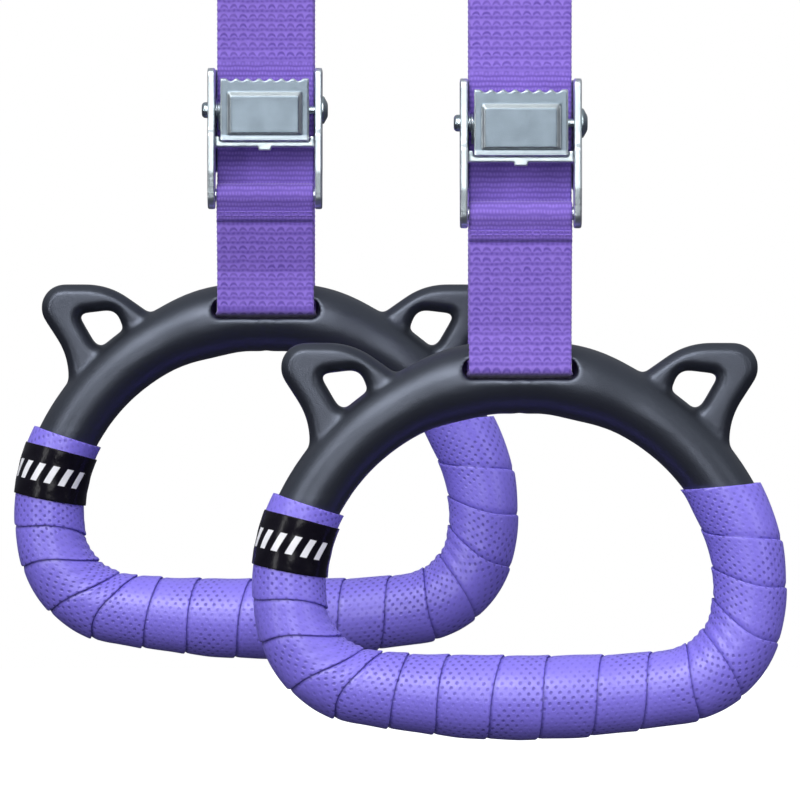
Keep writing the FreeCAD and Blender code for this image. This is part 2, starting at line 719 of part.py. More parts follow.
def make_cam_spring(label):
    """The torsion spring beside the lever, drawn about the pin's axis."""
    coil = dim("spring_coil_radius")
    wire = dim("spring_wire_radius")
    leg = dim("spring_leg")
    advance = dim("spring_pitch") * dim("spring_turns")
    helix = Part.makeHelix(dim("spring_pitch"), advance, coil)
    section = Part.Wire(Part.makeCircle(wire, vector(coil, 0, 0), vector(0, 1, 0)))
    turns = Part.Wire(helix).makePipeShell([section], True, True)
    turned = math.radians(360 * dim("spring_turns"))
    end = vector(coil * math.cos(turned), coil * math.sin(turned), advance)
    onward = vector(-math.sin(turned), math.cos(turned), 0)
    first_leg = Part.makeCylinder(wire, leg, vector(coil, 0, 0), vector(0, -1, 0))
    last_leg = Part.makeCylinder(wire, leg, end, onward)
    spring = turns.fuse([first_leg, last_leg])
    spring.rotate(vector(0, 0, 0), vector(0, 1, 0), 90)
    gap_middle = -(dim("rail_gap") + dim("lever_width")) / 4
    spring.translate(vector(gap_middle - advance / 2, 0, 0))
    spring.rotate(vector(0, 0, 0), vector(1, 0, 0), dim("spring_angle"))
    return new_feature(label, Part.makeCompound([spring]))


# ---------------------------------------------------------------- assembly

CROWN = vector(0, 0, -dim("beam_height"))
GRIPS = {
    # where the crown of its ring is, and how much lower its buckle sits
    "right": (CROWN, 0.0),
    "left": (
        CROWN + vector(dim("pair_shift_x"), dim("pair_shift_y"), dim("pair_shift_z")),
        dim("left_buckle_drop"),
    ),
}
ON_RING = {
    "ring_body": make_ring_body,
    "grip_wrap": make_grip_wrap,
    "finishing_tape": make_finishing_tape,
    "strap_back": make_strap_back,
    "strap_slot_turn": make_strap_slot_turn,
}
FITTED = {
    "strap_front": make_strap_front,
    "strap_lower": make_strap_lower,
}
IN_BUCKLE = {
    "strap_stitching": make_strap_stitching,
    "buckle_frame": make_buckle_frame,
    "webbing_bar": make_webbing_bar,
}
ON_PIN = {
    "cam_pin": make_cam_pin,
    "cam_lever": make_cam_lever,
    "cam_spring": make_cam_spring,
}


def place(node, label, point):
    node.Label = label
    node.Placement = FreeCAD.Placement(point, FreeCAD.Rotation())
    return node


nodes = []
for side, (crown, drop) in GRIPS.items():
    buckle = crown - vector(0, 0, drop)
    pin = buckle + vector(0, -dim("pin_reach"), dim("pin_height"))
    for pieces, point in ((ON_RING, crown), (IN_BUCKLE, buckle), (ON_PIN, pin)):
        for name, builder in pieces.items():
            label = f"{side}_{name}"
            nodes.append(place(builder(label), label, point))
    for name, builder in FITTED.items():
        label = f"{side}_{name}"
        nodes.append(place(builder(label, drop), label, crown))
doc.recompute()

for item in doc.Objects:
    if "Invalid" in item.State or "Error" in item.State:
        raise RuntimeError(f"{item.Label} did not compute: {item.State}")
for node in nodes:
    if node.Shape.isNull() or not node.Shape.isValid():
        raise RuntimeError(f"{node.Label} has no valid shape")
    node.Shape.exportStep(f"parts/{node.Label}.step")
    box = node.Shape.BoundBox
    print(f"{node.Label}: {len(node.Shape.Solids)} solid(s), {node.Shape.Volume:.0f} mm3, "
          f"{box.XLength:.1f} x {box.YLength:.1f} x {box.ZLength:.1f} mm")
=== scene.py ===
import json
import math

import bmesh
import bpy
import numpy as np
from mathutils import Matrix, Vector


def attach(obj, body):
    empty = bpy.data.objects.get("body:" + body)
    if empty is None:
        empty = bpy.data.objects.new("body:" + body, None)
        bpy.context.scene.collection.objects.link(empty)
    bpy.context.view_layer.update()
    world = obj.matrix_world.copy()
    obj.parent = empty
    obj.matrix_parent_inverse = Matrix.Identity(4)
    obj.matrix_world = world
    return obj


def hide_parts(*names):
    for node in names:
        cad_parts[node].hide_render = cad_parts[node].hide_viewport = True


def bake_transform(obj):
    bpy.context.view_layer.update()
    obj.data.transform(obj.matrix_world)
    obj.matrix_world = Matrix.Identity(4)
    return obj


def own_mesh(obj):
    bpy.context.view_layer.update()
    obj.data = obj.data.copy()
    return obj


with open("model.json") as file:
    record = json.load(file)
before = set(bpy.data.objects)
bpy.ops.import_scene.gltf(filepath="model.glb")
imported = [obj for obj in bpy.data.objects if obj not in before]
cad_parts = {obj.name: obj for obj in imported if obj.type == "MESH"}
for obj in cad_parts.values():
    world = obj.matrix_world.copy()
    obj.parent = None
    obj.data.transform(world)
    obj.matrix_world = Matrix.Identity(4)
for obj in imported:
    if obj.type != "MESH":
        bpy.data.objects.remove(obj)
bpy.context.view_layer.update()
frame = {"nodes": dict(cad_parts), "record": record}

# The looks of a pair of hanging hand grips. Pieces are drawn once, in millimetres about the crown
# of the ring, and are then placed in metres at each grip: +X along the beam, -Y towards the viewer.

MM = 0.001
BEAM_HEIGHT = 175.0
GRIPS = {
    mount["name"].split("_")[0]: Vector(mount["pos_m"]) - Vector((0, 0, BEAM_HEIGHT * MM))
    for mount in frame["record"]["mounts"]
}
BUCKLE_DROP = {"right": 0.0, "left": 13.0}


# ---------------------------------------------------------------- shader arithmetic

class Field:
    """A number that varies over a surface: arithmetic on it adds Math nodes to its material."""

    def __init__(self, tree, socket):
        self.tree = tree
        self.socket = socket

    def math(self, operation, *others):
        node = self.tree.nodes.new("ShaderNodeMath")
        node.operation = operation
        for slot, value in zip(node.inputs, (self, *others)):
            if isinstance(value, Field):
                self.tree.links.new(value.socket, slot)
            else:
                slot.default_value = value
        return Field(self.tree, node.outputs[0])

    def __add__(self, other):
        return self.math("ADD", other)

    def __sub__(self, other):
        return self.math("SUBTRACT", other)

    def __mul__(self, other):
        return self.math("MULTIPLY", other)

    def __truediv__(self, other):
        return self.math("DIVIDE", other)

    def inverse(self):
        """One minus the field."""
        return (self * -1.0) + 1.0

    def off_centre(self, pitch):
        """Distance from the middle of the cell, in cells of this pitch."""
        return ((self / pitch).math("FRACT") - 0.5).math("ABSOLUTE") * pitch

    def step(self, low, high):
        """Rises smoothly from 0 to 1 between low and high."""
        node = self.tree.nodes.new("ShaderNodeMapRange")
        node.interpolation_type = "SMOOTHSTEP"
        self.tree.links.new(self.socket, node.inputs["Value"])
        node.inputs["From Min"].default_value = low
        node.inputs["From Max"].default_value = high
        return Field(self.tree, node.outputs["Result"])


def new_material(name, roughness, **sockets):
    """A Principled material; uniform values go straight on the shader's own sockets."""
    material = bpy.data.materials.new(name)
    material.use_nodes = True
    shader = material.node_tree.nodes["Principled BSDF"]
    shader.inputs["Roughness"].default_value = roughness
    for socket, value in sockets.items():
        shader.inputs[socket.replace("_", " ")].default_value = value
    return material, material.node_tree, shader


def surface_values(tree, attribute):
    """The three numbers that the mesh stores at each point under this name."""
    node = tree.nodes.new("ShaderNodeAttribute")
    node.attribute_name = attribute
    parts = tree.nodes.new("ShaderNodeSeparateXYZ")
    tree.links.new(node.outputs["Vector"], parts.inputs[0])
    return [Field(tree, socket) for socket in parts.outputs]


def noise(tree, size, detail=2.0, stretch=(1, 1, 1)):
    """Soft noise from 0 to 1 with features of this size, in metres."""
    place = tree.nodes.new("ShaderNodeTexCoord")
    scale = tree.nodes.new("ShaderNodeMapping")
    scale.inputs["Scale"].default_value = stretch
    node = tree.nodes.new("ShaderNodeTexNoise")
    node.inputs["Scale"].default_value = 1 / size
    node.inputs["Detail"].default_value = detail
    tree.links.new(place.outputs["Object"], scale.inputs["Vector"])
    tree.links.new(scale.outputs["Vector"], node.inputs["Vector"])
    return Field(tree, node.outputs["Fac"])


def mix_colours(tree, share, first, second):
    """The first colour where the field is 0, the second where it is 1."""
    node = tree.nodes.new("ShaderNodeMix")
    node.data_type = "RGBA"
    tree.links.new(share.socket, node.inputs["Factor"])
    for socket, colour in zip((node.inputs[6], node.inputs[7]), (first, second)):
        if isinstance(colour, tuple):
            socket.default_value = (*colour, 1.0)
        else:
            tree.links.new(colour, socket)
    return node.outputs[2]


def add_bump(tree, shader, height, depth):
    """Bump from a field from 0 to 1 that stands this many metres high."""
    node = tree.nodes.new("ShaderNodeBump")
    node.inputs["Distance"].default_value = depth
    tree.links.new(height.socket, node.inputs["Height"])
    tree.links.new(node.outputs["Normal"], shader.inputs["Normal"])


# ---------------------------------------------------------------- materials

# Webbing, in mm: the woven cells with their bowed strokes, and the plain ribs at the buckle
CELL_WIDTH = 3.73
CELL_LENGTH = 3.73
STROKE_SAG = 1.5
RIB_PITCH = 1.95
BEAD_PITCH = 1.24
YARN_WANDER = (0.9, 0.8)
# Grip tape: the staggered lattice of small holes, and each hole's core and rim, in mm: its painted
# shade and its bump are full in the core and fade out by the rim
HOLE_PITCH_ACROSS = 3.4
HOLE_PITCH_ALONG = 3.84
HOLE_CORE = 0.20
HOLE_RIM = 0.88
# Finishing tape: the pale bars' pitch and height in mm, their width and soft edge in parts of a
# pitch, their slant as a ratio, and the first and last of them as counted round the tape
BAR_PITCH = 5.7
BAR_SHARE = 0.46
BAR_HEIGHT = 7.2
BAR_SLANT = 0.34
BAR_BLUR = 0.03
FIRST_BAR = 12
LAST_BAR = 22


def webbing_material():
    """Polyester webbing. The mesh stores millimetres along and across it, and where it is plain."""
    material, tree, shader = new_material(
        "webbing", 0.66, Sheen_Weight=0.25, Sheen_Roughness=0.5, Specular_IOR_Level=0.25,
    )
    along, across, plain = surface_values(tree, "weave")
    along = along + (noise(tree, 0.0032, 1.0) - 0.5) * YARN_WANDER[0]
    across = across + (noise(tree, 0.0027, 1.0) - 0.5) * YARN_WANDER[1]
    row = (along / CELL_LENGTH).math("FRACT") - 0.5
    # Each cell holds one bowed stroke, and a row of small knots parts it from the next cell.
    from_middle = ((across / CELL_WIDTH).math("FRACT") - 0.5).math("ABSOLUTE")
    drop = from_middle * from_middle * STROKE_SAG
    stroke = ((row - drop + 0.03).math("ABSOLUTE") * CELL_LENGTH).step(0.15, 0.90)
    uneven = noise(tree, 0.0045, 1.0) * 0.9 + 0.40
    arches = stroke.inverse() * from_middle.step(0.28, 0.48).inverse() * uneven
    knots = (across * (4 * math.pi / CELL_WIDTH)).math("COSINE") * 0.20 + 0.80
    level = ((row.math("ABSOLUTE") * -1.0 + 0.5) * CELL_LENGTH).step(0.10, 1.05).inverse() * knots
    woven = arches.math("MAXIMUM", level)
    # Where it is plain, the ribs show as rows of beads, each row shifted from the one before it.
    stagger = (along / RIB_PITCH).math("FLOOR") * (math.pi * 0.8)
    beads = (across * (2 * math.pi / BEAD_PITCH) + stagger).math("COSINE") * 0.30 + 0.70
    ribs = (along.off_centre(RIB_PITCH).step(0.15, 0.95).inverse() * beads).inverse() * 0.8
    groove = woven * plain.inverse() + ribs * plain
    yarn = noise(tree, 0.0007, 2.0, (1, 1, 0.35))
    patches = noise(tree, 0.010, 2.0)
    # The weave's pattern is the yarn's own; its grooves, and those between the beaded ribs, are
    # painted darker as painted shade between the yarns.
    tone = mix_colours(
        tree, groove * (patches * 0.4 + 0.75), (0.300, 0.192, 0.705), (0.090, 0.048, 0.335),
    )
    tone = mix_colours(tree, yarn * 0.40 + patches * 0.10, tone, (0.180, 0.105, 0.530))
    tree.links.new(tone, shader.inputs["Base Color"])
    add_bump(tree, shader, groove.inverse() * 0.75 + yarn * 0.25, 0.00013)
    return material


def grip_tape_material():
    """Soft polyurethane grip tape with rows of small holes in a staggered lattice."""
    material, tree, shader = new_material("grip_tape", 0.44, Specular_IOR_Level=0.85)
    along, across, painted_fold_shade = surface_values(tree, "tape")
    nearest = None
    for shift in (0.0, 0.5):
        row = (across + HOLE_PITCH_ACROSS * shift).off_centre(HOLE_PITCH_ACROSS)
        place = (along + HOLE_PITCH_ALONG * shift).off_centre(HOLE_PITCH_ALONG)
        distance = (row * row + place * place).math("SQRT")
        nearest = distance if nearest is None else nearest.math("MINIMUM", distance)
    hole = nearest.step(HOLE_CORE, HOLE_RIM).inverse()
    # The holes show clearly in some random patches and faintly in others, in their painted shade
    # and in their bump.
    clear = noise(tree, 0.016, 1.0).step(0.40, 0.64)
    grain = noise(tree, 0.0005, 3.0)
    patches = noise(tree, 0.018, 2.0)
    tone = mix_colours(tree, patches, (0.205, 0.160, 0.740), (0.240, 0.192, 0.810))
    tone = mix_colours(tree, grain * 0.14, tone, (0.130, 0.095, 0.560))
    # Painted shade: the holes are painted a darker purple, as the shade inside them.
    tone = mix_colours(tree, hole * (clear * 0.52 + 0.18), tone, (0.060, 0.038, 0.300))
    # Painted shade: the tape is painted darker in the fold beside and under each turn's proud edge.
    tone = mix_colours(tree, painted_fold_shade * 0.75, tone, (0.030, 0.020, 0.190))
    tree.links.new(tone, shader.inputs["Base Color"])
    tree.links.new((hole * 0.30 + grain * 0.08 + 0.32).socket, shader.inputs["Roughness"])
    add_bump(tree, shader, (hole * (clear * 0.6 + 0.4)).inverse() * 0.8 + grain * 0.2, 0.00025)
    return material


def ring_material():
    """Satin moulded plastic, nearly black, with a fine moulded grain."""
    material, tree, shader = new_material(
        "ring_plastic", 0.34, Specular_IOR_Level=1.0, IOR=1.62,
        Specular_Tint=(0.72, 0.80, 1.0, 1.0),
    )
    grain = noise(tree, 0.0005, 3.0)
    patches = noise(tree, 0.025, 2.0)
    tone = mix_colours(
        tree, patches * 0.6 + grain * 0.4, (0.005, 0.006, 0.008), (0.009, 0.010, 0.013),
    )
    # Painted highlight: convex edges, such as the slot's lip and the ears' edges, are painted a
    # paler grey.
    shape = tree.nodes.new("ShaderNodeNewGeometry")
    painted_edge_highlight = Field(tree, shape.outputs["Pointiness"]).step(0.512, 0.555)
    tone = mix_colours(tree, painted_edge_highlight * 0.8, tone, (0.20, 0.22, 0.27))
    tree.links.new(tone, shader.inputs["Base Color"])
    tree.links.new((patches * 0.08 + grain * 0.06 + 0.34).socket, shader.inputs["Roughness"])
    add_bump(tree, shader, grain, 0.00006)
    return material


def finishing_tape_material():
    """Glossy black film with a row of plain slanted pale bars round its front."""
    material, tree, shader = new_material("finishing_tape", 0.20, Specular_IOR_Level=0.18)
    around, across, _ = surface_values(tree, "tape")
    slanted = (around - across * BAR_SLANT) / BAR_PITCH
    half = BAR_SHARE / 2
    bar = slanted.off_centre(1.0).step(half - BAR_BLUR, half + BAR_BLUR).inverse()
    bar = bar * (across.math("ABSOLUTE") / BAR_HEIGHT).step(0.48, 0.52).inverse()
    number = slanted.math("FLOOR")
    bar = bar * number.step(FIRST_BAR - 0.6, FIRST_BAR - 0.4)
    bar = bar * number.step(LAST_BAR + 0.4, LAST_BAR + 0.6).inverse()
    film = noise(tree, 0.004, 3.0)
    tone = mix_colours(tree, film, (0.003, 0.0025, 0.005), (0.007, 0.006, 0.011))
    tone = mix_colours(tree, bar, tone, (0.80, 0.80, 0.84))
    tree.links.new(tone, shader.inputs["Base Color"])
    add_bump(tree, shader, film, 0.0002)
    return material


def metal_material(name, light, dark, roughness, edges=None):
    """Zinc-plated steel: bluish, satin, faintly cloudy, with a drawn grain.

    Its convex edges and its faces turned away from front and back can take a paler colour of their
    own, given as edges: a painted highlight.
    """
    material, tree, shader = new_material(name, roughness, Metallic=1.0)
    clouds = noise(tree, 0.006, 4.0)
    grain = noise(tree, 0.0007, 3.0, (1, 1, 3))
    tone = mix_colours(tree, clouds, light, dark)
    if edges:
        # Painted highlight: convex edges and faces turned away from front and back take the paler
        # edges colour.
        shape = tree.nodes.new("ShaderNodeNewGeometry")
        painted_edge_highlight = Field(tree, shape.outputs["Pointiness"]).step(0.505, 0.55)
        facing = tree.nodes.new("ShaderNodeTexCoord")
        parts = tree.nodes.new("ShaderNodeSeparateXYZ")
        tree.links.new(facing.outputs["Normal"], parts.inputs[0])
        painted_slope_highlight = Field(tree, parts.outputs[1]).math("ABSOLUTE").step(0.78, 0.97).inverse()
        tone = mix_colours(tree, painted_edge_highlight.math("MAXIMUM", painted_slope_highlight), tone, edges)
    tree.links.new(tone, shader.inputs["Base Color"])
    spread = clouds * 0.14 + grain * 0.08 + (roughness - 0.11)
    tree.links.new(spread.socket, shader.inputs["Roughness"])
    add_bump(tree, shader, grain * 0.5 + clouds * 0.5, 0.00008)
    return material


def thread_material():
    """Twisted polyester thread."""
    material, tree, shader = new_material("thread", 0.55, Sheen_Weight=0.3)
    twist = noise(tree, 0.0004, 2.0, (1, 1, 2))
    tone = mix_colours(tree, twist, (0.15, 0.085, 0.45), (0.26, 0.16, 0.65))
    tree.links.new(tone, shader.inputs["Base Color"])
    add_bump(tree, shader, twist, 0.0001)
    return material


MATERIALS = {
    "webbing": webbing_material(),
    "grip_tape": grip_tape_material(),
    "ring_plastic": ring_material(),
    "finishing_tape": finishing_tape_material(),
    # The edges colours here are the colours of painted highlights.
    "zinc_plate": metal_material(
        "zinc_plate", (0.62, 0.70, 0.73), (0.52, 0.60, 0.63), 0.34, edges=(0.82, 0.88, 0.90)),
    # The lever's zinc is a darker copy of the plate's: painted shade on its face, with the same
    # painted highlights on its edges and slopes.
    "zinc_with_painted_shade": metal_material(
        "zinc_with_painted_shade", (0.195, 0.24, 0.28), (0.16, 0.20, 0.235), 0.34, edges=(0.85, 0.93, 0.95)),
    "bright_zinc": metal_material("bright_zinc", (0.52, 0.60, 0.64), (0.42, 0.50, 0.54), 0.24),
    "spring_steel": metal_material("spring_steel", (0.52, 0.56, 0.60), (0.40, 0.44, 0.48), 0.28),
    "thread": thread_material(),
}


# ---------------------------------------------------------------- meshes

def new_mesh(name, points, faces, attribute=None, values=None):
    """A mesh from points in millimetres, with three numbers for each point if asked for."""
    mesh = bpy.data.meshes.new(name)
    mesh.from_pydata((np.asarray(points) * MM).tolist(), [], faces)
    if attribute:
        layer = mesh.attributes.new(attribute, "FLOAT_VECTOR", "POINT")
        layer.data.foreach_set("vector", np.asarray(values, np.float32).ravel())
    mesh.shade_smooth()
    return mesh


def place_piece(side, name, mesh, slot, nodes, drop=0.0):
    """One grip's copy of a mesh, in the row frame, standing for these CAD nodes."""
    own = mesh.copy()
    own.name = f"{side}_{name}_look"
    own.transform(Matrix.Translation(GRIPS[side] - Vector((0, 0, drop * MM))))
    own.materials.clear()
    own.materials.append(MATERIALS[slot])
    piece = bpy.data.objects.new(own.name, own)
    bpy.context.scene.collection.objects.link(piece)
    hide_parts(*[f"{side}_{node}" for node in nodes])
    return piece


def grid_faces(rows, columns, closed):
    """Quads of a grid of points; closed joins the last column to the first."""
    faces = []
    for row in range(rows - 1):
        for column in range(columns if closed else columns - 1):
            after = (column + 1) % columns
            low = row * columns
            high = low + columns
            faces.append((low + column, low + after, high + after, high + column))
    return faces


def smoothed(points, edges, weight, passes):
    """Moves each point towards the mean of its neighbours, by its weight, a number of times."""
    count = np.bincount(edges.ravel(), minlength=len(points))[:, None]
    for _ in range(passes):
        total = np.zeros_like(points)
        for axis in range(3):
            total[:, axis] = np.bincount(edges[:, 0], points[edges[:, 1], axis], len(points))
            total[:, axis] += np.bincount(edges[:, 1], points[edges[:, 0], axis], len(points))
        points = points + (total / np.maximum(count, 1) - points) * weight[:, None]
    return points


def softened(node, voxel, passes, extra=None):
    """A CAD node as a moulded or pressed piece: rebuilt in even facets, its edges rounded.

    The facets are this many millimetres wide. The extra rounding is by a weight for each point.
    """
    side = node.split("_")[0]
    source = bpy.data.objects.new("source", frame["nodes"][node].data.copy())
    source.data.transform(Matrix.Translation(-GRIPS[side]))
    bpy.context.scene.collection.objects.link(source)
    remesh = source.modifiers.new("remesh", "REMESH")
    remesh.mode = "VOXEL"
    remesh.voxel_size = voxel * MM
    graph = bpy.context.evaluated_depsgraph_get()
    mesh = bpy.data.meshes.new_from_object(source.evaluated_get(graph))
    bpy.data.objects.remove(source)
    points = np.empty(len(mesh.vertices) * 3)
    mesh.vertices.foreach_get("co", points)
    points = points.reshape(-1, 3) / MM
    edges = np.empty(len(mesh.edges) * 2, int)
    mesh.edges.foreach_get("vertices", edges)
    edges = edges.reshape(-1, 2)
    points = smoothed(points, edges, np.full(len(points), 0.5), passes)
    if extra:
        weight, more = extra(points)
        points = smoothed(points, edges, weight, more)
    mesh.vertices.foreach_set("co", (points * MM).ravel())
    mesh.update()
    mesh.shade_smooth()
    return mesh


# ---------------------------------------------------------------- the ring's centre line

# Half the centre line: arcs from the crown down one side, with the heading in degrees where each
# ends and its radius in mm. A last arc closes it at the middle of the hand bar.
CROWN_DROP = 12.85
ARC_ENDS = (63.0, 99.7, 172.0)
ARC_RADII = (88.2, 66.4, 32.0)
TUBE_SWELL = [
    # degrees from the crown to the middle of the hand bar, and the tube's radius there
    (0, 13.75), (16, 13.75), (27, 12.2), (45, 11.8), (99.7, 11.8), (150, 12.4),
    (172, 12.2), (175, 12.9), (177, 13.9), (180, 14.4),
]
# Where the wrap and the finishing tape end, and how far their ends lean, the tape's in millimetres
WRAP_START = 57.7
WRAP_END = 360 - 62.8
START_LEAN = 27.0
END_LEAN = 9.0
TAPE_ENDS = (360 - 85.2, 360 - 67.6)
TAPE_LEANS = (1.5, -1.9)
OVERRUN = 30.0
PATH_STEPS = 3000


def centre_line_arcs():
    """Half the centre line from its crown: (first and last heading, centre x and z, radius)."""
    x, z = 0.0, -CROWN_DROP - ARC_RADII[0]
    arcs = [(0.0, ARC_ENDS[0], x, z, ARC_RADII[0])]
    for first, last, before, radius in zip(ARC_ENDS, ARC_ENDS[1:], ARC_RADII, ARC_RADII[1:]):
        turned = math.radians(first)
        x += (before - radius) * math.sin(turned)
        z += (before - radius) * math.cos(turned)
        arcs.append((first, last, x, z, radius))
    turned = math.radians(ARC_ENDS[-1])
    hand_bar_radius = ARC_RADII[-1] + x / math.sin(turned)
    z += (ARC_RADII[-1] - hand_bar_radius) * math.cos(turned)
    arcs.append((ARC_ENDS[-1], 180.0, 0.0, z, hand_bar_radius))
    return arcs


CENTRE_LINE = centre_line_arcs()


def centre_point(heading):
    """Centre of the tube at a heading from 0 to 360 degrees below +X, clockwise from the crown."""
    half = heading if heading <= 180 else 360 - heading
    for first, last, x, z, radius in CENTRE_LINE:
        if half <= last:
            turned = math.radians(half)
            across = x + radius * math.sin(turned)
            return (across if heading <= 180 else -across), z + radius * math.cos(turned)
    raise ValueError("a heading lies between 0 and 360 degrees")


class TubePath:
    """The tube's centre line by its length from the wrap's start on the right side."""

    def __init__(self):
        self.heading = np.linspace(WRAP_START - OVERRUN, WRAP_END + OVERRUN, PATH_STEPS)
        centre = np.array([centre_point(heading) for heading in self.heading])
        self.x, self.z = centre.T
        step = np.hypot(np.diff(self.x), np.diff(self.z))
        self.length = np.concatenate([[0], np.cumsum(step)])
        self.length -= np.interp(WRAP_START, self.heading, self.length)
        half = np.minimum(self.heading, 360 - self.heading)
        self.radius = np.interp(half, *np.array(TUBE_SWELL).T)

    def at(self, heading):
        """The length at a heading."""
        return float(np.interp(heading, self.heading, self.length))

    def surface(self, length, turn, rise):
        """Points at a length, an angle round the tube from its outer side, and a rise above it."""
        heading = np.radians(np.interp(length, self.length, self.heading))
        reach = np.interp(length, self.length, self.radius) + rise
        outward = reach * np.cos(turn)
        return np.stack([
            np.interp(length, self.length, self.x) + outward * np.sin(heading),
            -reach * np.sin(turn),
            np.interp(length, self.length, self.z) + outward * np.cos(heading),
        ], -1)


PATH = TubePath()


# ---------------------------------------------------------------- ring, wrap and tape

EAR_START = 38.0
EAR_FOOT = -58.0
FILLET_REACH = 3.6
FILLET_PASSES = 26
BATCH = 4000


def ring_fillets(points):
    """Where the ear loops grow out of the tube, and on the loops, the moulding is well rounded."""
    headings = np.linspace(0, 360, 721)
    line = np.array([centre_point(heading) for heading in headings])
    radius = np.interp(np.minimum(headings, 360 - headings), *np.array(TUBE_SWELL).T)
    clearance = np.empty(len(points))
    for start in range(0, len(points), BATCH):
        part = points[start:start + BATCH]
        flat = (part[:, None, 0] - line[:, 0]) ** 2 + (part[:, None, 2] - line[:, 1]) ** 2
        distance = np.sqrt(flat + part[:, None, 1] ** 2) - radius
        clearance[start:start + BATCH] = distance.min(axis=1)
    near = np.clip(1 - np.abs(clearance - 0.8) / FILLET_REACH, 0, 1)
    beside_ear = np.clip((np.abs(points[:, 0]) - EAR_START) / 6, 0, 1) * (points[:, 2] > EAR_FOOT)
    on_ear = beside_ear * (clearance > 2.0)
    return np.maximum(0.5 * near * beside_ear, 0.22 * on_ear), FILLET_PASSES


TURN_EDGES = [
    # Where each turn's proud edge lies at the front, how far it leans, and how far it bows, in mm
    (-44, 0, 0), (-26, 0, 0), (-8, -0.5, 0), (21, 1, -1), (38.5, 1, -3), (56, 1.5, -5),
    (70, 1, 0), (85.5, -0.5, -2.5), (102.5, -0.5, 0.5), (121, -1, 0), (141, -2, 0),
    (160, -1.5, -1.5), (180, -2.5, -1), (196, -1, -2), (214, 3, -6.5), (224.5, 5, -5),
    (241, 3, -4.5), (254.5, -1, -2), (272, 0, 0), (304, 0, 0), (322, 0, 0),
]
TURN_STEPS = 132
FACE_STEPS = 22
WRAP_RISE = 2.15
TAPER = 0.45
# Beside the next turn's edge the tape is pressed down this far, over this length
FOLD_DROP = 0.50
FOLD_RUN = 2.2
# Places along the tube, each with its spread: both bends, the wrap's start, the hand bar's middle
BENDS = ((65, 22), (226, 22))
START_TUCK = (-7, 9)
BAR_MIDDLE = (145, 40)
PUCKER = 0.22
SWELL = 0.10
WOUND_RADIUS = 14.3
EDGE_PROFILE = [
    # along the tube from the proud edge, and below the tape's face, in mm; the first is the foot
    (0.34, -0.98), (-0.04, -0.80), (-0.20, -0.50), (-0.18, -0.22), (0.02, -0.05), (0.30, 0.0),
]


def smooth_curve(values, places):
    """Catmull-Rom curve through values at 0, 1, 2 and so on."""
    values = np.asarray(values, float)
    places = np.clip(places, 0, len(values) - 1.001)
    whole = places.astype(int)
    share = places - whole
    points = [values[np.clip(whole + shift, 0, len(values) - 1)] for shift in (-1, 0, 1, 2)]
    before, here, after, beyond = points
    return here + 0.5 * share * (
        after - before + share * (
            2 * before - 5 * here + 4 * after - beyond
            + share * (3 * (here - after) + beyond - before)
        )
    )


def edge_position(turns):
    """Where the proud edge lies along the tube after a number of turns."""
    outward = np.cos(math.pi / 2 - 2 * math.pi * turns)
    fronts, leans, bows = (smooth_curve(values, turns) for values in zip(*TURN_EDGES))
    return fronts + leans * outward + bows * outward ** 2


def around_place(along, place, spread):
    """One at a place along the tube, falling to nothing beyond its spread."""
    return np.exp(-((along - place) / spread) ** 2)


def make_wrap():
    """Grip tape wound in overlapping turns: each covers the edge of the one before it."""
    rows = (len(TURN_EDGES) - 2) * TURN_STEPS
    turns = 0.5 + np.arange(rows) / TURN_STEPS
    around = math.pi / 2 - 2 * math.pi * turns
    start = edge_position(turns)
    end = edge_position(turns + 1)
    pitch = np.maximum(end - start, 1.0)
    along, drop = [], []
    for ahead, below in EDGE_PROFILE:
        along.append(start + ahead)
        drop.append(np.full(rows, below))
    inner = EDGE_PROFILE[-1][0]
    for share in np.linspace(0, 1, FACE_STEPS)[1:]:
        eased = share + 0.10 * math.sin(2 * math.pi * share) * (1 - share)
        distance = inner + (pitch + EDGE_PROFILE[0][0] - inner) * eased
        fold = np.clip(1 - (pitch - distance) / FOLD_RUN, 0, 1)
        along.append(start + distance)
        drop.append(-FOLD_DROP * fold * fold * (3 - 2 * fold) - TAPER * distance / pitch)
    along = np.array(along).T
    drop = np.array(drop).T
    columns = along.shape[1]
    angle = np.repeat(around[:, None], columns, 1)
    from_edge = along - start[:, None]
    corner = sum(around_place(along, *bend) for bend in BENDS)
    inside = (0.5 - 0.5 * np.cos(angle)) ** 2
    puckers = np.sin(from_edge * 1.15 + 2.3 * np.sin(angle) + turns[:, None] * 2.0)
    swell = np.sin(along * 0.21 + 1.7 * np.sin(angle)) * np.cos(angle * 2 + along * 0.09)
    rise = WRAP_RISE + drop + SWELL * swell + PUCKER * corner * inside * puckers
    rise -= 1.0 * inside * around_place(along, *START_TUCK)
    rise -= 0.5 * around_place(along, *BAR_MIDDLE)
    edge_lift = np.exp(-from_edge / 2.0) * 0.10 * np.sin(angle * 3 + turns[:, None])
    points = PATH.surface(along, angle, rise + edge_lift)
    tape_length = WOUND_RADIUS * (math.pi / 2 - angle)
    # Painted shade in the fold: darkest at the foot of each proud edge, and darker where the tape
    # is pressed down beside the next edge.
    painted_fold_shade = np.clip((-drop - TAPER) / FOLD_DROP, 0, 1) ** 2 * 0.75
    painted_fold_shade[:, :len(EDGE_PROFILE)] = np.linspace(1.0, 0.0, len(EDGE_PROFILE)) ** 2
    values = np.stack([tape_length, from_edge, painted_fold_shade], -1).reshape(-1, 3)
    faces = [tuple(face) for face in grid_faces(rows, columns, False)]
    for row in range(rows - TURN_STEPS - 1):
        last = row * columns + columns - 1
        first = (row + TURN_STEPS) * columns
        faces.append((last, last + columns, first + columns, first))
    mesh = new_mesh("wrap", points.reshape(-1, 3), faces, "tape", values)
    finish_wrap_ends(mesh)
    return mesh


CUT_REACH = 34.0
STRAY_REACH = 70.0


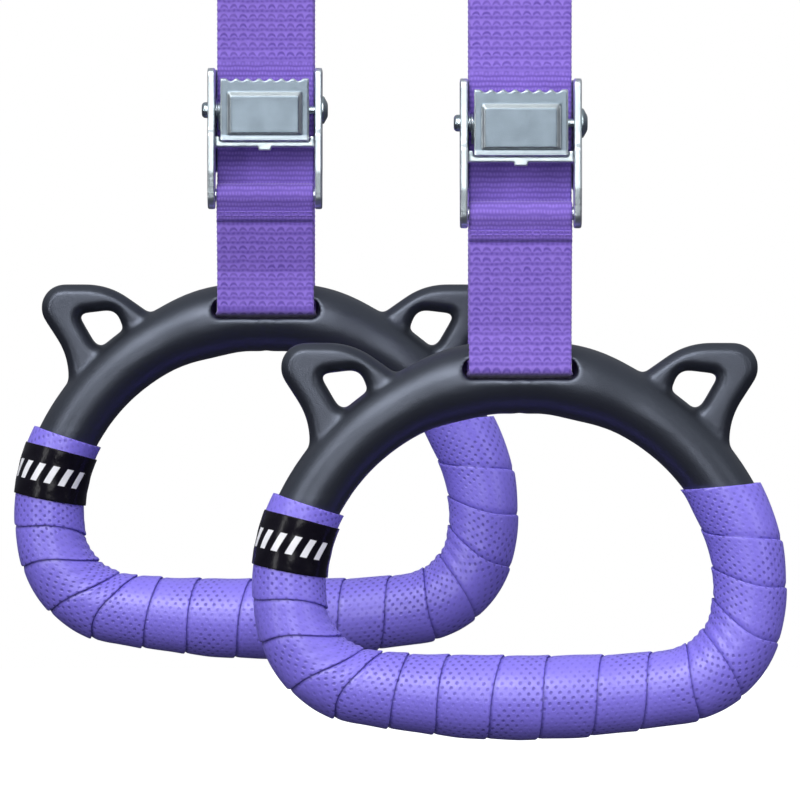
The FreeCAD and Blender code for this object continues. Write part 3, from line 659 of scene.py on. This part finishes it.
def finish_wrap_ends(mesh):
    """Cuts the wrap off at both ends, on a lean, and turns its rim in to the tube."""
    work = bmesh.new()
    work.from_mesh(mesh)
    for heading, lean, mirror in ((WRAP_START, START_LEAN, 1), (WRAP_END, END_LEAN, -1)):
        x, z = centre_point(heading)
        half = min(heading, 360 - heading)
        centre = Vector((x, 0, z)) * MM
        turned, leaning = math.radians(half), math.radians(half - 90 + lean)
        along = Vector((-math.cos(turned) * mirror, 0, math.sin(turned)))
        away = Vector((math.sin(leaning) * mirror, 0, math.cos(leaning)))
        near = [v for v in work.verts if (v.co - centre).length < CUT_REACH * MM]
        chosen = set(near)
        edges = [e for e in work.edges if e.verts[0] in chosen and e.verts[1] in chosen]
        faces = [f for f in work.faces if all(v in chosen for v in f.verts)]
        bmesh.ops.bisect_plane(
            work, geom=near + edges + faces, plane_co=centre, plane_no=away, clear_outer=True,
        )
        strays = [
            v for v in work.verts
            if (v.co - centre).dot(away) > 0.05 * MM
            and (v.co - centre).length < STRAY_REACH * MM
        ]
        bmesh.ops.delete(work, geom=strays, context="VERTS")
        rim = [
            e for e in work.edges
            if e.is_boundary and all(abs((v.co - centre).dot(away)) < 0.02 * MM for v in e.verts)
        ]
        made = bmesh.ops.extrude_edge_only(work, edges=rim)["geom"]
        reach = (float(np.interp(half, *np.array(TUBE_SWELL).T)) - 0.3) * MM
        for v in (item for item in made if isinstance(item, bmesh.types.BMVert)):
            offset = v.co - centre
            from_axis = (offset - along * offset.dot(along)).length
            v.co = centre + offset * (reach / from_axis)
    bmesh.ops.recalc_face_normals(work, faces=work.faces)
    work.to_mesh(mesh)
    work.free()
    mesh.shade_smooth()


TAPE_STEPS = 160
TAPE_RADIUS = 14.1
BAR_OFFSET = 20.5


def make_finishing_tape():
    """A tight band of glossy film over the end of the wrap."""
    low, high = (PATH.at(heading) for heading in TAPE_ENDS)
    turn = np.linspace(0, 2 * math.pi, TAPE_STEPS, endpoint=False)
    low_edge = low + TAPE_LEANS[0] * np.cos(turn)
    high_edge = high + TAPE_LEANS[1] * np.cos(turn)
    # share of the width, inset and rise of each ring of points
    profile = [(0, 0.0, -0.6), (0, 0.0, 0.32), (0, 0.12, 0.40)]
    profile += [(share, 0.0, 0.42) for share in np.linspace(0.02, 0.98, 24)]
    profile += [(1, -0.12, 0.40), (1, 0.0, 0.32), (1, 0.0, -0.6)]
    points, values = [], []
    for share, inset, above in profile:
        length = low_edge + inset + share * (high_edge - low_edge)
        ripple = 0.05 * np.sin(3 * turn + share * 10) + 0.04 * np.sin(7 * turn - share * 18)
        points.append(PATH.surface(length, turn, WRAP_RISE + above + ripple))
        across = (share - 0.5) * (high - low)
        around = (turn - math.pi / 2) * TAPE_RADIUS + BAR_OFFSET * BAR_PITCH
        values.append(np.stack([around, np.full(TAPE_STEPS, across), np.zeros(TAPE_STEPS)], -1))
    points = np.array(points).reshape(-1, 3)
    faces = grid_faces(len(profile), TAPE_STEPS, True)
    return new_mesh("finishing_tape", points, faces, "tape", np.array(values).reshape(-1, 3))


# ---------------------------------------------------------------- webbing

WEBBING_WIDTH = 38.0
WEBBING_THICKNESS = 2.1
EDGE_RADIUS = 0.9
RELIEF = 0.10
EDGE_RELIEF = 0.07
END_ROUNDING = 3.0
# In the ring's slot the webbing spreads by this share of its width
SLOT_SPREAD = 0.045
BEAM_BEND = 17.05
# How far the strands hang from the ring's middle plane, where the back strand begins, and where
# both strands meet the turn through the slot
STRAND_REACH = 13.3
SPLICE_HEIGHT = 165.0
STRAND_END = 4.0
FACE_COLUMNS = 84
# The stored lengths start from here, so that no row of the weave is numbered below zero
WEAVE_OFFSET = (600.0, 100.2)


def tangent_corner(point, side):
    """Where the line from a point, tangent to the beam's bend, meets its top."""
    away = (-point[0], BEAM_HEIGHT - point[1])
    heading = math.atan2(away[1], away[0]) - side * math.asin(BEAM_BEND / math.hypot(*away))
    top = BEAM_HEIGHT + BEAM_BEND
    return point[0] + (top - point[1]) / math.tan(heading), top


STUB_BACK = (STRAND_REACH, STRAND_END)
BACK_CORNER = tangent_corner(STUB_BACK, 1)


def back_strand_point(height):
    """A point on the straight strand behind the ring."""
    share = (height - STUB_BACK[1]) / (BACK_CORNER[1] - STUB_BACK[1])
    return STUB_BACK[0] + (BACK_CORNER[0] - STUB_BACK[0]) * share, height


def front_route(drop):
    """The tail, the run through the buckle and the turn over the beam, as (y, z, bend radius)."""
    lean_start = (-13.2, 105.2 - drop)
    return [
        (-13.2, 38 - drop, 0), (*lean_start, 40), (*tangent_corner(lean_start, -1), BEAM_BEND),
        (*BACK_CORNER, BEAM_BEND), (*back_strand_point(SPLICE_HEIGHT), 0),
    ]


def lower_route(drop):
    """The sewn loop, the strand below it and the turn through the ring's slot."""
    sewn = [
        (-20.6, 36.6, 0), (-20.6, 41.2, 4), (-23.15, 45.9, 4), (-23.15, 50.65, 3.65),
        (-15.85, 50.65, 3.65), (-15.85, 45.9, 4), (-18.4, 41.2, 4), (-18.4, 35, 12),
    ]
    return [(y, z - drop, bend) for y, z, bend in sewn] + [
        (-STRAND_REACH, STRAND_END, 6), (-STRAND_REACH, -11.4, 1.6), (0, -13.35, BEAM_BEND),
        (STRAND_REACH, -11.4, 1.6), (STRAND_REACH, STRAND_END, 0),
    ]


BACK_ROUTE = [(*back_strand_point(SPLICE_HEIGHT), 0), (*STUB_BACK, 0)]


def rounded_route(route, step=0.5):
    """Points, directions and lengths along a route of straight runs and round bends."""
    corners = [np.array(corner[:2], float) for corner in route]
    runs = [corners[0]]
    for before, here, after, (_, _, radius) in zip(corners, corners[1:], corners[2:], route[1:]):
        into = (here - before) / np.linalg.norm(here - before)
        out = (after - here) / np.linalg.norm(after - here)
        turn = math.atan2(into[0] * out[1] - into[1] * out[0], into @ out)
        if abs(turn) < 1e-4 or radius == 0:
            runs.append(here)
            continue
        reach = radius * math.tan(abs(turn) / 2)
        side = math.copysign(1, turn)
        centre = here - into * reach + side * radius * np.array((-into[1], into[0]))
        for share in np.linspace(0, 1, max(4, int(radius * abs(turn) / 0.4))):
            angle = math.atan2(into[1], into[0]) - side * math.pi / 2 + turn * share
            runs.append(centre + radius * np.array((math.cos(angle), math.sin(angle))))
    runs.append(corners[-1])
    runs = np.array(runs)
    length = np.concatenate([[0], np.cumsum(np.linalg.norm(np.diff(runs, axis=0), axis=1))])
    even = np.linspace(0, length[-1], int(length[-1] / step) + 1)
    points = np.stack([np.interp(even, length, runs[:, axis]) for axis in (0, 1)], -1)
    ahead = np.gradient(points, axis=0)
    ahead /= np.linalg.norm(ahead, axis=1)[:, None]
    return points, ahead, even


def weave_height(along, across, plain):
    """How far the weave stands out, from 0 in a groove to 1 on a ridge."""
    woven = 0.5 - 0.5 * np.cos(2 * math.pi * along / (CELL_LENGTH / 2))
    woven *= 0.75 + 0.25 * np.cos(2 * math.pi * across / CELL_WIDTH) ** 2
    ribs = 0.5 - 0.5 * np.cos(2 * math.pi * (along / RIB_PITCH + 0.5))
    return woven * (1 - plain) + ribs * plain


def make_webbing(name, route, plain_from=500, plain_to=0, falling=1, cut_end=True):
    """Webbing along a route in the Y-Z plane; its ribs are plain between two heights.

    A cut end is sealed to a soft edge where the route starts. Falling is 1 on a route that runs
    down and -1 on one that runs up, so that the weave's strokes bow the same way on every strand.
    """
    centre, ahead, length = rounded_route(route)
    flat = WEBBING_WIDTH / 2 - EDGE_RADIUS
    across = np.linspace(-flat, flat, FACE_COLUMNS)
    rim = np.linspace(-math.pi / 2, math.pi / 2, 7)[1:-1]
    outline = [(x, 1.0, 0.0) for x in across]
    outline += [(flat + EDGE_RADIUS * math.cos(turn), -math.sin(turn), 1.0) for turn in rim]
    outline += [(x, -1.0, 0.0) for x in across[::-1]]
    outline += [(-flat - EDGE_RADIUS * math.cos(turn), math.sin(turn), 1.0) for turn in rim]
    outline = np.array(outline)
    x = np.repeat(outline[None, :, 0], len(length), 0)
    face = outline[None, :, 1]
    rimmed = outline[None, :, 2]
    s = np.repeat(length[:, None], len(outline), 1)
    height = np.repeat(centre[:, None, 1], len(outline), 1)
    plain = np.clip((height - plain_from) / 3, 0, 1) * np.clip((plain_to - height) / 3, 0, 1)
    relief = weave_height(s, x, plain)
    half = WEBBING_THICKNESS / 2 - RELIEF + RELIEF * relief * (1 - 0.5 * plain)
    in_slot = np.clip(-height / 6, 0, 1) * np.clip((centre[:, None, 0] + 12.5) / 6, 0, 1)
    x = x * (1 + SLOT_SPREAD * in_slot)
    x = x + rimmed * np.sign(x) * EDGE_RELIEF * np.cos(2 * math.pi * s / (CELL_LENGTH / 2))
    rounding = np.sqrt(1 - np.clip(1 - s / END_ROUNDING, 0, 1) ** 2) if cut_end else 1.0
    offset = half * np.where(face > 0, face * (2 * rounding - 1), face)
    points = np.stack([
        x,
        centre[:, None, 0] - ahead[:, None, 1] * offset,
        centre[:, None, 1] + ahead[:, None, 0] * offset,
    ], -1)
    values = np.stack([s * falling + WEAVE_OFFSET[0], x + WEAVE_OFFSET[1], plain], -1)
    values = values.reshape(-1, 3)
    columns = len(outline)
    faces = grid_faces(len(length), columns, True)
    faces.append(tuple(range(columns))[::-1])
    faces.append(tuple(range((len(length) - 1) * columns, len(length) * columns)))
    return new_mesh(name, points.reshape(-1, 3), faces, "weave", values)


# ---------------------------------------------------------------- pieces at each grip

# Pieces that look the same at both grips
shared = {
    "ring_body": softened("right_ring_body", 0.66, 4, ring_fillets),
    "cam_lever": softened("right_cam_lever", 0.26, 9),
    "buckle_frame": softened("right_buckle_frame", 0.34, 4),
    "grip_wrap": make_wrap(),
    "finishing_tape": make_finishing_tape(),
    "strap_back": make_webbing("strap_back", BACK_ROUTE, cut_end=False),
}
# CAD pieces that stay as they are, with these materials
KEPT = {
    "webbing_bar": "zinc_plate", "cam_pin": "bright_zinc", "cam_spring": "spring_steel",
    "strap_stitching": "thread",
}

for side, crown in GRIPS.items():
    drop = BUCKLE_DROP[side]
    for name, slot in (
        ("ring_body", "ring_plastic"),
        ("grip_wrap", "grip_tape"),
        ("finishing_tape", "finishing_tape"),
    ):
        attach(place_piece(side, name, shared[name], slot, [name]), f"{side}_ring")
    for name, body in (("cam_lever", "lever"), ("buckle_frame", "buckle")):
        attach(place_piece(side, name, shared[name], "zinc_plate", [name], drop), f"{side}_{body}")
    # The lever takes the darker copy of the zinc, whose darkness is painted shade.
    bpy.data.objects[f"{side}_cam_lever_look"].data.materials[0] = MATERIALS["zinc_with_painted_shade"]
    run = make_webbing("strap_front", front_route(drop), 38 - drop, 101 - drop, -1)
    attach(place_piece(side, "strap_front", run, "webbing", ["strap_front"]), "root")
    back = place_piece(side, "strap_back", shared["strap_back"], "webbing", ["strap_back"])
    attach(back, "root")
    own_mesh(back)
    strand = make_webbing("strap_lower", lower_route(drop), 36 - drop, 60 - drop)
    lower = place_piece(side, "strap_lower", strand, "webbing", ["strap_lower", "strap_slot_turn"])
    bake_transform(lower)
    for name, slot in KEPT.items():
        kept = frame["nodes"][f"{side}_{name}"]
        for index in range(len(kept.material_slots)):
            kept.material_slots[index].material = MATERIALS[slot]


# ---------------------------------------------------------------- stage, light and camera

FLOOR_HEIGHT = -0.72
FLOOR_REACH = 8.0


def make_floor():
    """A wide pale floor below the hanging grips; it throws no light up on them."""
    corners = [(-1, -1), (1, -1), (1, 1), (-1, 1)]
    points = [(x * FLOOR_REACH / MM, y * FLOOR_REACH / MM, FLOOR_HEIGHT / MM) for x, y in corners]
    mesh = new_mesh("floor", points, [(0, 1, 2, 3)])
    floor = bpy.data.objects.new("floor", mesh)
    bpy.context.scene.collection.objects.link(floor)
    material, tree, shader = new_material("floor", 0.9, Specular_IOR_Level=0.1)
    tone = mix_colours(tree, noise(tree, 0.6, 1.0), (0.90, 0.90, 0.90), (0.93, 0.93, 0.93))
    tree.links.new(tone, shader.inputs["Base Color"])
    shader.inputs["Emission Color"].default_value = (1, 1, 1, 1)
    shader.inputs["Emission Strength"].default_value = 1.0
    mesh.materials.append(material)
    floor.visible_diffuse = False
    floor.visible_glossy = False


def add_softbox(name, place, target, size, power, mirrored):
    """An area light that faces the target."""
    light = bpy.data.lights.new(name, "AREA")
    light.shape = "RECTANGLE"
    light.size, light.size_y = size
    light.energy = power
    holder = bpy.data.objects.new(name, light)
    holder.location = place
    holder.rotation_mode = "QUATERNION"
    holder.rotation_quaternion = (Vector(target) - Vector(place)).to_track_quat("-Z", "Y")
    holder.visible_glossy = mirrored
    bpy.context.scene.collection.objects.link(holder)


CAMERA_PLACE = (-0.0445, -1.9, -0.1968)
CAMERA_LENS = 229.5
SENSOR_WIDTH = 36.0


def add_camera():
    """A long lens, level and square to the grips, 1.9 m in front of the nearer one."""
    camera = bpy.data.cameras.new("camera")
    camera.lens = CAMERA_LENS
    camera.sensor_width = SENSOR_WIDTH
    camera.clip_start = 0.05
    camera.clip_end = 20.0
    holder = bpy.data.objects.new("camera", camera)
    holder.location = CAMERA_PLACE
    holder.rotation_euler = (math.pi / 2, 0, 0)
    bpy.context.scene.collection.objects.link(holder)
    bpy.context.scene.camera = holder


MIDDLE = (-0.045, 0.05, -0.1)
REAR_GRIP = (-0.14, 0.12, -0.1)
SOFTBOXES = [
    # name, place, target, size in metres, power in watts, whether glossy surfaces mirror it
    ("key", (-0.6, -1.3, 1.2), MIDDLE, (1.2, 0.8), 15.5, True),
    ("highlight", (-0.35, -1.8, 0.95), MIDDLE, (1.3, 0.5), 11, True),
    ("front", (-0.1, -2.3, 0.0), MIDDLE, (0.75, 0.65), 8, True),
    ("side_strip", (-1.4, -1.2, 0.1), MIDDLE, (0.25, 1.2), 6, True),
    ("right", (1.25, -1.0, 0.1), MIDDLE, (0.4, 0.8), 2, True),
    ("right_fill", (1.2, -1.0, 0.1), MIDDLE, (0.7, 1.0), 6.5, False),
    ("left_fill", (-1.2, -0.8, 0.2), REAR_GRIP, (0.7, 1.0), 2, False),
    ("low_fill", (0.0, -1.5, -1.3), MIDDLE, (1.6, 1.0), 4, False),
    ("top", (0.0, 0.0, 1.3), MIDDLE, (1.2, 0.9), 14, False),
]


def make_studio():
    """Even light from a pale ceiling, falling off to a dim floor; in view it is plain white."""
    world = bpy.data.worlds.new("studio")
    world.use_nodes = True
    tree = world.node_tree
    place = tree.nodes.new("ShaderNodeTexCoord")
    parts = tree.nodes.new("ShaderNodeSeparateXYZ")
    tree.links.new(place.outputs["Generated"], parts.inputs[0])
    upward = Field(tree, parts.outputs[2]).step(-0.2, 0.7)
    tone = mix_colours(tree, upward, (0.06, 0.06, 0.08), (0.36, 0.375, 0.40))
    path = tree.nodes.new("ShaderNodeLightPath")
    tone = mix_colours(tree, Field(tree, path.outputs["Is Camera Ray"]), tone, (1.0, 1.0, 1.0))
    tree.links.new(tone, tree.nodes["Background"].inputs["Color"])
    bpy.context.scene.world = world


make_floor()
add_camera()
for softbox in SOFTBOXES:
    add_softbox(*softbox)
make_studio()
bpy.context.scene.view_settings.view_transform = "Standard"
